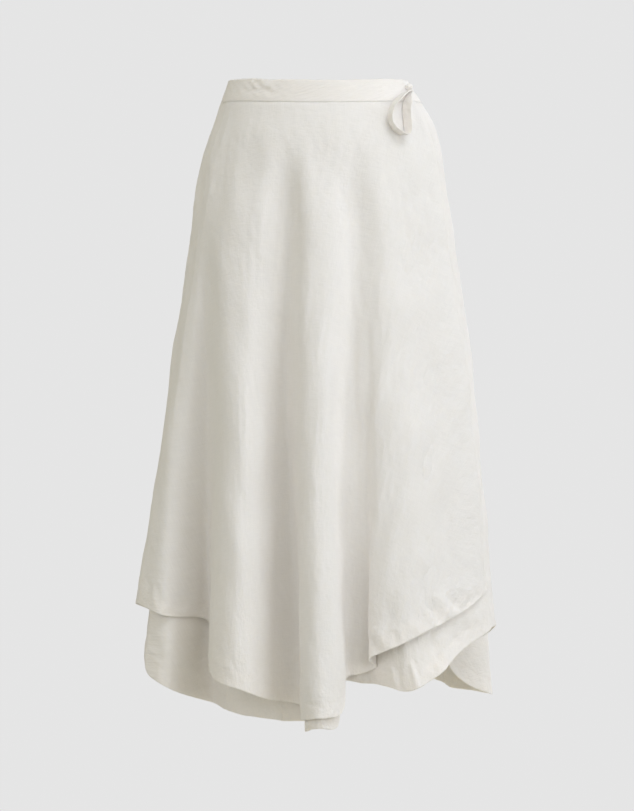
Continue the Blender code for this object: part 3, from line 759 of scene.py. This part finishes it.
def stitches(name, seams, material):
    """Rows of stitches. With s from -1 to 1 along a stitch, its middle line stands off the cloth by 0.6 (1
    - s^2) - 0.25 of the thread's thickness, and its radius is half the thickness times the square root of 1
    - 0.85 s^2."""
    centres, heads, ups = [], [], []
    for line, normals in seams:
        reach = np.concatenate([[0.0], np.cumsum(np.linalg.norm(np.diff(line, axis=0), axis=1))])
        at = np.arange(STITCH_PITCH / 2, reach[-1] - STITCH_PITCH / 2, STITCH_PITCH)
        ends = []
        for shift in (-STITCH_LENGTH / 2, STITCH_LENGTH / 2):
            ends.append(np.stack([np.interp(at + shift, reach, line[:, i]) for i in range(3)], axis=1))
        centres.append((ends[0] + ends[1]) / 2)
        heads.append(unit(ends[1] - ends[0]))
        ups.append(unit(np.stack([np.interp(at, reach, normals[:, i]) for i in range(3)], axis=1)))
    centre, head, up = (np.concatenate(part)[:, None, None] for part in (centres, heads, ups))
    side = unit(np.cross(up, head))
    rings, sides = 5, 6
    s = np.linspace(-1.0, 1.0, rings)[None, :, None, None]
    turn = np.linspace(0.0, 2 * math.pi, sides, endpoint=False)[None, None, :, None]
    radius = THREAD / 2 * np.sqrt(1 - 0.85 * s**2)
    rise = THREAD * (0.6 * (1 - s**2) - 0.25)
    points = centre + head * s * STITCH_LENGTH / 2
    points = points + up * (rise + radius * np.sin(turn)) + side * radius * np.cos(turn)
    index = np.arange(len(centre) * rings * sides).reshape(len(centre), rings, sides)
    beside = np.roll(index, -1, axis=2)
    quads = np.stack([index[:, :-1], beside[:, :-1], beside[:, 1:], index[:, 1:]], axis=-1).reshape(-1, 4)
    caps = np.concatenate([index[:, 0, ::-1], index[:, -1]])
    return smooth_piece(name, points, quads.tolist() + caps.tolist(), material)


# ---- finishes ----
LINEN = (0.872, 0.842, 0.812)
THROUGH = 0.6  # share of the light that goes into the cloth
THROUGH_RADIUS = (1.0, 0.96, 0.88)  # how far each colour of it spreads there, times the scale
THROUGH_SCALE = 0.0013
SLUB_WIDTH = 0.0011
SLUB_LENGTH = 0.022
CREASED_FULL = 0.012
CREASED_LEAST = 0.140
CREASED_REST = 0.40


def fill(tree, made, values):
    """Gives a node's sockets, by name or number, their values, or links from other nodes' outputs."""
    for key, value in values.items():
        socket = made.inputs[key.replace("_", " ") if isinstance(key, str) else key]
        if isinstance(value, bpy.types.NodeSocket):
            tree.links.new(value, socket)
        else:
            socket.default_value = value


def node(tree, kind, numbered=None, **named):
    """A shader node with its settings and its sockets, by name or by number."""
    made = tree.nodes.new(kind)
    for key in [key for key in named if hasattr(made, key)]:
        setattr(made, key, named.pop(key))
    fill(tree, made, {**named, **(numbered or {})})
    return made


def finish(name, **sockets):
    """A new material, with the values of its surface's sockets."""
    material = bpy.data.materials.new(name)
    material.use_nodes = True
    surface = material.node_tree.nodes["Principled BSDF"]
    fill(material.node_tree, surface, sockets)
    return material, material.node_tree, surface


def linen():
    """Plain woven linen. Slubs are noise drawn out along each of the cloth's two thread directions. Their sum
    makes the colour a little darker and lighter and raises the threads. A coarser noise creases the cloth, in
    full up to CREASED_FULL from the hem and less and less up to CREASED_LEAST, where CREASED_REST stays."""
    material, tree, surface = finish(
        "linen", Roughness=0.92, Specular_IOR_Level=0.25, Sheen_Weight=0.12, Sheen_Roughness=0.5,
        Subsurface_Weight=THROUGH, Subsurface_Radius=THROUGH_RADIUS, Subsurface_Scale=THROUGH_SCALE)
    cloth = node(tree, "ShaderNodeUVMap", uv_map="cloth").outputs["UV"]
    slubs = []
    for along_u, along_v in ((SLUB_WIDTH, SLUB_LENGTH), (SLUB_LENGTH, SLUB_WIDTH)):
        place = node(tree, "ShaderNodeMapping", Vector=cloth, Scale=(1 / along_u, 1 / along_v, 1.0))
        slub = node(tree, "ShaderNodeTexNoise", Vector=place.outputs[0], Scale=1, Detail=2, Roughness=0.55)
        slubs.append(slub.outputs["Fac"])
    slubs = node(tree, "ShaderNodeMath", dict(enumerate(slubs)), operation="ADD").outputs[0]
    tone = node(tree, "ShaderNodeMapRange", Value=slubs, From_Min=0.6, From_Max=1.4, To_Min=0.955,
                To_Max=1.03)
    colour = node(tree, "ShaderNodeMix", {6: LINEN + (1.0,), 7: tone.outputs["Result"]}, data_type="RGBA",
                  blend_type="MULTIPLY", Factor=1.0)
    creasing = node(tree, "ShaderNodeTexNoise", Vector=cloth, Scale=105.0, Detail=3.0, Roughness=0.6)
    hem = node(tree, "ShaderNodeAttribute", attribute_name="hem")
    near_hem = node(tree, "ShaderNodeMapRange", Value=hem.outputs["Fac"], From_Min=CREASED_FULL,
                    From_Max=CREASED_LEAST, To_Min=1.0, To_Max=CREASED_REST)
    creased = node(tree, "ShaderNodeBump", Strength=near_hem.outputs["Result"], Distance=0.0018,
                   Height=creasing.outputs["Fac"])
    threads = node(tree, "ShaderNodeBump", Strength=0.35, Distance=0.0004, Height=slubs,
                   Normal=creased.outputs["Normal"])
    fill(tree, surface, {"Base Color": colour.outputs[2], "Normal": threads.outputs["Normal"]})
    return material


def sewing_thread():
    """Spun thread in the linen's own colour, a little lighter and darker along its plies by a fine noise."""
    material, tree, surface = finish("thread", Roughness=0.7, Specular_IOR_Level=0.35, Sheen_Weight=0.1)
    place = node(tree, "ShaderNodeTexCoord")
    plies = node(tree, "ShaderNodeTexNoise", Vector=place.outputs["Object"], Scale=2600.0, Detail=2.0)
    dark, light = (tuple(shade * value for value in LINEN) + (1.0,) for shade in (0.93, 1.02))
    tone = node(tree, "ShaderNodeMix", {6: dark, 7: light}, data_type="RGBA", Factor=plies.outputs["Fac"])
    fill(tree, surface, {"Base Color": tone.outputs[2]})
    return material


# ---- pieces ----


def panel(name, first, last, hem_column, layer, material, seed, finished=(), corner=0.0):
    """A panel of cloth from the waist seam to its hem, between two fold lines. It is the skin, moved along
    its normal by: a slow swell and a finer, patchy crumple, both smoother by the waist seam and stronger in
    front at the tie's side; puckers by the hem; the listed creases; a groove along the hem's
    stitches; and the cloth's rolling in at seams. finished names the side edges that are hemmed and free;
    the others are seams. The lower corner at the first edge is rounded with the radius corner."""
    start, stop = (KNOTS[NAMES.index(line)] for line in (first, last))
    if stop <= start:
        stop += PERIOD
    along = np.linspace(start, stop, int(round((stop - start) / STEP_ALONG)) + 1)
    top = waist_line(along) - WAIST_GAP
    hem = hem_line(along, first, last, hem_column)
    if corner:
        reach = lengths(skin(along, hem[:, None], layer)[:, 0], 0)
        short = np.clip(1 - reach / corner, 0, 1)
        hem = hem + corner * (1 - np.sqrt(1 - short**2))
    upper = (top - hem).mean() - HEM_ROWS_HEIGHT
    rows = np.linspace(0.0, 1.0, int(round(upper / STEP_DOWN)) + 1)[:-1]
    fine = np.linspace(HEM_ROWS_HEIGHT, 0.0, int(round(HEM_ROWS_HEIGHT / STEP_HEM)) + 1)
    z_upper = top[:, None] + (hem + HEM_ROWS_HEIGHT - top)[:, None] * rows
    z = np.concatenate([z_upper, hem[:, None] + fine], axis=1)
    points = skin(along, z, layer)
    across = lengths(points, 0)
    down = lengths(points, 1)
    slant = np.gradient(hem) / np.maximum(np.gradient(across[:, -1]), 1e-6)
    to_hem = (z - hem[:, None]) / np.sqrt(1 + slant**2)[:, None]
    distances = {"first": across, "last": across[-1:] - across}
    sink = np.zeros_like(z)
    turned = np.clip((HEM_DEPTH - to_hem) / STEP_WIDTH + 0.5, 0, 1)
    edge_distance = to_hem
    for side, distance in distances.items():
        if side in finished:
            turned = np.maximum(turned, np.clip((EDGE_DEPTH - distance) / STEP_WIDTH + 0.5, 0, 1))
            edge_distance = np.minimum(edge_distance, distance + HEM_DEPTH - EDGE_DEPTH)
        else:
            sink += SEAM_SINK * np.clip(1 - distance / SEAM_ROLL, 0, 1) ** 2
    sink += WAIST_SINK * np.clip(1 - down / WAIST_ROLL, 0, 1) ** 2
    flat = ring_sector(across, down)
    u, v = flat[..., 0], flat[..., 1]
    free = ease(down / HELD_AT_WAIST)
    pulled = 1.0 + PULL * ease((points[..., 0] - PULL_FROM) / PULL_REACH) * (points[..., 1] < 0)
    uneven = pulled * free * waves("swell", u, v, seed)
    patches = waves("crumple patches", u, v, seed) * (HELD_CRUMPLE + (1 - HELD_CRUMPLE) * free)
    uneven += pulled * patches * waves("crumple", u, v, seed)
    near_hem = ease(1 - to_hem / PUCKER_REACH) * ease((to_hem - PUCKER_START) / PUCKER_GROW)
    uneven += near_hem * waves("puckers", across, v * 0, seed) * waves("pucker patches", across, v * 0, seed)
    uneven -= GROOVE * np.exp(-((to_hem - HEM_DEPTH + GROOVE_WITHIN) / GROOVE_WIDTH) ** 2)
    outer = points + grid_normals(points) * (uneven + creases(points, layer) - sink)[..., None]
    facing = grid_normals(outer)
    inner = outer - facing * (CLOTH + TURN_UP * turned)[..., None]
    for edge, beside in ((0, 1), (-1, -2)):
        inward = unit(outer[beside] - outer[edge]) * SEAM_GAP / 2
        outer[edge] += inward
        inner[edge] += inward
    piece = shell(name, outer, inner, flat, edge_distance, material)
    sides = [(distances[side], flip) for side, flip in (("first", -1), ("last", 1)) if side in finished]
    return piece, flat, hem_seams(outer, facing, to_hem, sides)


def waistband(material):
    """One folded strip along the waist seam: from the over edge across the front to the left seam, round
    the back while it moves in by the depth of the wrap, and on under itself to the under edge. It is
    crowned: fuller by BAND_CROWN times one minus the square of twice the height from its middle. Where it
    is drawn up, by bell curves of the angle, it has crinkles, which weaken towards the top; slanted pleats,
    a drifting sine of the running length less PLEAT_SLANT times the height; a lifted top edge; and
    BAND_ROLLS, bell curves of the height."""
    start = ANGLES[NAMES.index("over edge")]
    end = ANGLES[NAMES.index("under edge")] - 360.0
    angle = np.linspace(start, end, BAND_STEPS + 1)[:, None]
    up = np.linspace(0.0, 1.0, BAND_ROWS + 1)[None, :]
    inset = WRAP_AT_WAIST * np.clip((-90.0 - angle) / 180.0, 0.0, 1.0)
    along = np.radians(angle) * BAND_RADIUS
    height = BAND_HEIGHT * up
    z = waist_seam(angle) + height
    z = z + waves("waistband edge", along, 0 * height) * ease(up)
    plan, outward = on_body(angle, z)
    drawn = MM * sum(much * np.exp(-((angle - middle) / reach) ** 2) for middle, reach, much in BAND_CRINKLES)
    form = waves("waistband crinkles", along, height) * ease(up / CRINKLES_FULL) * (1 - CRINKLES_WEAKEN * up)
    turns = 2 * math.pi * (along - PLEAT_SLANT * height) / PLEAT_PITCH
    pleats = np.sin(turns + waves("pleats' drift", along, height))
    form += PLEAT_HEIGHT * pleats * ease((up - PLEATS_FROM) / PLEATS_REACH)
    form += LIFT * ease((up - LIFT_FROM) / LIFT_REACH)
    for middle, reach, much in BAND_ROLLS:
        form += much * np.exp(-((up - middle) / reach) ** 2)
    rise = BAND_CROWN * (1 - (2 * up - 1) ** 2) + drawn * form
    faces = [plan + outward * (BAND_PROUD - inset + rise)[..., None],
             plan + outward * (BAND_PROUD - inset - BAND_WALL + INNER_SHARE * rise)[..., None]]
    outer, inner = (np.concatenate([face, z[..., None]], axis=-1)[::-1, ::-1] for face in faces)
    flat = plain_flat(outer)
    far = np.full(flat.shape[:2], FAR)
    seam = (outer[:, -2], grid_normals(outer)[:, -2])
    return shell("waistband_cloth", outer, inner, flat, far, material), flat, [seam]


def off_skirt(x, z, distance, turn=0.0):
    """Points at a distance off the skirt's right front, over a plan x and a height, and the direction
    there: the outward one, turned to the side by some degrees (a number, or one for each point)."""
    sizes = spline_weights(SECTION_Z, z) @ SECTION_SIZES
    angle = np.degrees(np.arcsin((x - sizes[:, 1]) / sizes[:, 0]))
    plan, outward = on_body(angle, z)
    cos, sin = np.cos(np.radians(turn)), np.sin(np.radians(turn))
    x_out, y_out = outward[:, 0], outward[:, 1]
    off = np.stack([x_out * cos - y_out * sin, x_out * sin + y_out * cos], axis=1)
    return np.concatenate([plan + off * distance[:, None], z[:, None]], axis=-1), off


def tie_loop(material):
    """The hanging loop: a drop shape against the skirt, with the tie standing on its edge. At turn t from 0
    to a full circle it is sin t * sin(t/2) wide and (1 - cos t) / 2 of its drop below the knot; its middle
    swings to the side on a parabola."""
    turn = np.linspace(LOOP_OPENING, 2 * math.pi - LOOP_OPENING, LOOP_STEPS)
    fall = (1 - np.cos(turn)) / 2
    lean = fall * (4 * LOOP_LEAN - LOOP_LEAN_LOW) - fall**2 * (4 * LOOP_LEAN - 2 * LOOP_LEAN_LOW)
    x = KNOT_X - lean - LOOP_HALF_WIDTH * LOOP_FULL * np.sin(turn) * np.sin(turn / 2)
    z = KNOT_Z - KNOT_SIZE[1] / 2 - LOOP_DROP * fall
    width = TIE_WIDTH * (PINCH + (1 - PINCH) * ease(fall / PINCH_REACH))
    edges = []
    for side in np.linspace(0.0, 1.0, LOOP_ROWS):
        off = LOOP_CLEAR + (TIE_WIDTH - width) * PINCH_NEAR + width * side
        edges.append(off_skirt(x, z, off, LOOP_TURN - LOOP_TWIST * np.sin(turn))[0])
    outer = np.stack(edges, axis=1)
    normals = grid_normals(outer)
    flat = plain_flat(outer)
    outer = outer + normals * waves("loop", flat[..., 0], flat[..., 1])[..., None]
    far = np.full(flat.shape[:2], FAR)
    return shell("tie_loop_cloth", outer, outer - normals * TIE_WALL, flat, far, material), flat


def tie_knot(material):
    """The knot: a rounded lump whose surface is wound round with folds. Its radius is that of an ellipsoid
    times one plus KNOT_FOLD times the cosine of three times the longitude and four times the latitude, and
    times the cosine of the latitude."""
    longitude = np.linspace(0.0, 2 * math.pi, KNOT_STEPS[0])[:, None]
    latitude = np.linspace(math.pi / 2, -math.pi / 2, KNOT_STEPS[1])[None, :]
    fold = 1 + KNOT_FOLD * np.cos(3 * longitude + 4 * latitude) * np.cos(latitude)
    x = np.cos(latitude) * np.cos(longitude) * fold * KNOT_SIZE[0] / 2
    y = np.cos(latitude) * np.sin(longitude) * fold * KNOT_SIZE[2] / 2
    z = np.sin(latitude) * fold * KNOT_SIZE[1] / 2
    centre, outward = off_skirt(np.array([KNOT_X]), np.array([KNOT_Z]), np.array([KNOT_STAND]))
    turn = math.atan2(outward[0, 0], -outward[0, 1])
    cos, sin = math.cos(turn), math.sin(turn)
    points = np.stack([cos * x - sin * y, sin * x + cos * y, z], axis=-1) + centre[0]
    rings = points[:-1]
    across, down = rings.shape[:2]
    body = rings[:, 1:-1]
    poles = np.stack([points[0, 0], points[0, -1]])
    vertices = np.concatenate([body.reshape(-1, 3), poles])
    index = np.arange(across * (down - 2)).reshape(across, down - 2)
    beside = np.roll(index, -1, axis=0)
    quads = np.stack([index[:, :-1], index[:, 1:], beside[:, 1:], beside[:, :-1]], axis=-1).reshape(-1, 4)
    top = len(vertices) - 2
    caps = [(int(a), int(b), top) for a, b in zip(index[:, 0], beside[:, 0])]
    caps += [(int(b), int(a), top + 1) for a, b in zip(index[:, -1], beside[:, -1])]
    knot = smooth_piece("tie_knot_cloth", vertices, quads.tolist() + caps, material)
    lay_cloth(knot.data, vertices[:, [0, 2]], np.full(len(vertices), FAR))
    return knot


def dress(piece, node_name):
    """Fixes a piece to the skirt's only body, in place of its solid, which it hides."""
    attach(piece, "root")
    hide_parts(node_name)


# ---- studio ----
BACKDROP = 0.785
AMBIENT_LEFT = 0.58  # the room's own light, from the left and from the right
AMBIENT_RIGHT = 0.08
AMBIENT_COLOUR = (1.0, 0.965, 0.81)
FLOOR_Z = -1.02
FLOOR_REACH = 12.0
FLOOR_BOUNCE = 0.42
LIGHT_TARGET = (0.0, 0.0, -0.45)
LIGHT_COLOUR = (0.968, 0.996, 1.05)
LIGHT_DISTANCE = 4.5
LIGHT_SIZE = (2.0, 2.4)
# name; bearing from straight in front, positive to the tie's side, and rise above the level of the skirt's
# middle, in degrees; power
LIGHTS = [
    ("front key", 30.0, 50.0, 46.0),
    ("side key", 60.0, 50.0, 30.0),
    ("low front", 25.0, 10.0, 15.0),
    ("low key", 45.0, 10.0, 28.0),
    ("side", 70.0, 10.0, 38.0),
    ("rim", 130.0, 12.0, 44.0),
    ("left fill", -30.0, 10.0, 32.0),
    ("back fill", 172.0, 32.0, 36.0),
]
REFLECTOR_PLACE = (0.08, 0.05, -1.0)  # of a small pale light that faces up into the skirt's hollow
REFLECTOR_SIZE = (0.45, 0.35)
REFLECTOR_POWER = 0.22


def camera():
    """A level camera in front of the skirt. Its lens makes a pixel PIXEL wide at the skirt's middle."""
    lens = bpy.data.cameras.new("camera")
    lens.sensor_fit = "AUTO"
    lens.sensor_width = SENSOR
    lens.lens = -CAMERA_PLACE[1] / (PIXEL * PICTURE[1]) * SENSOR
    lens.clip_end = 100.0
    thing = add("camera", lens)
    thing.location = CAMERA_PLACE
    thing.rotation_euler = (math.radians(90.0), 0.0, 0.0)
    bpy.context.scene.camera = thing


def soft_light(name, place, target, size, power, colour):
    """A rectangular light at a place, turned to face its target."""
    light = bpy.data.lights.new(name, "AREA")
    light.shape = "RECTANGLE"
    light.size, light.size_y = size
    light.energy = power
    light.color = colour
    thing = add(name, light)
    thing.location = place
    away = np.array(place) - np.array(target)
    heading = math.atan2(away[1], away[0])
    tilt = math.acos(away[2] / np.linalg.norm(away))
    thing.rotation_euler = (tilt, 0.0, heading + math.pi / 2)
    return thing


def seen_and_lit(tree, kind, out_kind):
    """Fills a tree with two shaders of a kind: one of the plain backdrop, which only the camera sees, and
    one of the room's colour, which lights the skirt. Returns the second."""
    tree.nodes.clear()
    seen = node(tree, kind, Color=(BACKDROP, BACKDROP, BACKDROP, 1.0))
    lit = node(tree, kind, Color=AMBIENT_COLOUR + (1.0,))
    camera_ray = node(tree, "ShaderNodeLightPath").outputs["Is Camera Ray"]
    mix = node(tree, "ShaderNodeMixShader", {0: camera_ray, 1: lit.outputs[0], 2: seen.outputs[0]})
    node(tree, out_kind, Surface=mix.outputs[0])
    return lit


def room():
    """The room's light, which goes evenly from AMBIENT_LEFT at the left to AMBIENT_RIGHT at the right."""
    world = bpy.data.worlds.new("studio")
    bpy.context.scene.world = world
    world.use_nodes = True
    tree = world.node_tree
    lit = seen_and_lit(tree, "ShaderNodeBackground", "ShaderNodeOutputWorld")
    place = node(tree, "ShaderNodeTexCoord")
    sides = node(tree, "ShaderNodeSeparateXYZ", {0: place.outputs["Generated"]})
    ambient = node(tree, "ShaderNodeMapRange", Value=sides.outputs["X"], From_Min=-1.0, From_Max=1.0,
                   To_Min=AMBIENT_LEFT, To_Max=AMBIENT_RIGHT)
    fill(tree, lit, {"Strength": ambient.outputs["Result"]})


def floor():
    """A plain pale floor, which throws FLOOR_BOUNCE of light back up."""
    mesh = bpy.data.meshes.new("floor")
    corners = [(x * FLOOR_REACH, y * FLOOR_REACH, FLOOR_Z) for x, y in ((-1, -1), (1, -1), (1, 1), (-1, 1))]
    mesh.from_pydata(corners, [], [(0, 1, 2, 3)])
    pale = bpy.data.materials.new("pale_floor")
    pale.use_nodes = True
    bounce = seen_and_lit(pale.node_tree, "ShaderNodeEmission", "ShaderNodeOutputMaterial")
    fill(pale.node_tree, bounce, {"Strength": FLOOR_BOUNCE})
    mesh.materials.append(pale)
    add("floor", mesh)


def lights():
    """The soft lights, each at its bearing and rise at one distance from the skirt's middle, and the
    reflector."""
    for name, bearing, rise, power in LIGHTS:
        bearing, rise = math.radians(bearing), math.radians(rise)
        level = math.cos(rise)
        away = (level * math.sin(bearing), -level * math.cos(bearing), math.sin(rise))
        place = tuple(LIGHT_TARGET[i] + LIGHT_DISTANCE * away[i] for i in range(3))
        soft_light(name, place, LIGHT_TARGET, LIGHT_SIZE, power, LIGHT_COLOUR)
    reflector = soft_light("floor reflector", REFLECTOR_PLACE, REFLECTOR_PLACE[:2] + (0.0,), REFLECTOR_SIZE,
                           REFLECTOR_POWER, AMBIENT_COLOUR)
    reflector.visible_camera = False


# ---- making it ----
bpy.context.scene.view_settings.view_transform = "Standard"
camera()
room()
floor()
lights()
linen_cloth = linen()
thread = sewing_thread()
over = panel("over_front_cloth", "left seam", "over edge", "z_over", "over", linen_cloth, 11, ("last",))
under = panel("under_front_cloth", "under edge", "right seam", "z_inner", "under", linen_cloth, 17,
              ("first",), HEM_CORNER)
back = panel("back_cloth", "right seam", "left seam", "z_inner", "back", linen_cloth, 23)
band = waistband(linen_cloth)
loop, loop_flat = tie_loop(linen_cloth)
knot = tie_knot(linen_cloth)
sewn = {"over_front": over, "under_front": under, "back": back, "waistband": band}
rows = {name: stitches(name + "_stitches", seams, thread) for name, (_, _, seams) in sewn.items()}
for name, (piece, flat, _) in sewn.items():
    dress(piece, name)
dress(loop, "tie_loop")
dress(knot, "tie_knot")
for name, piece in rows.items():
    dress(piece, name)
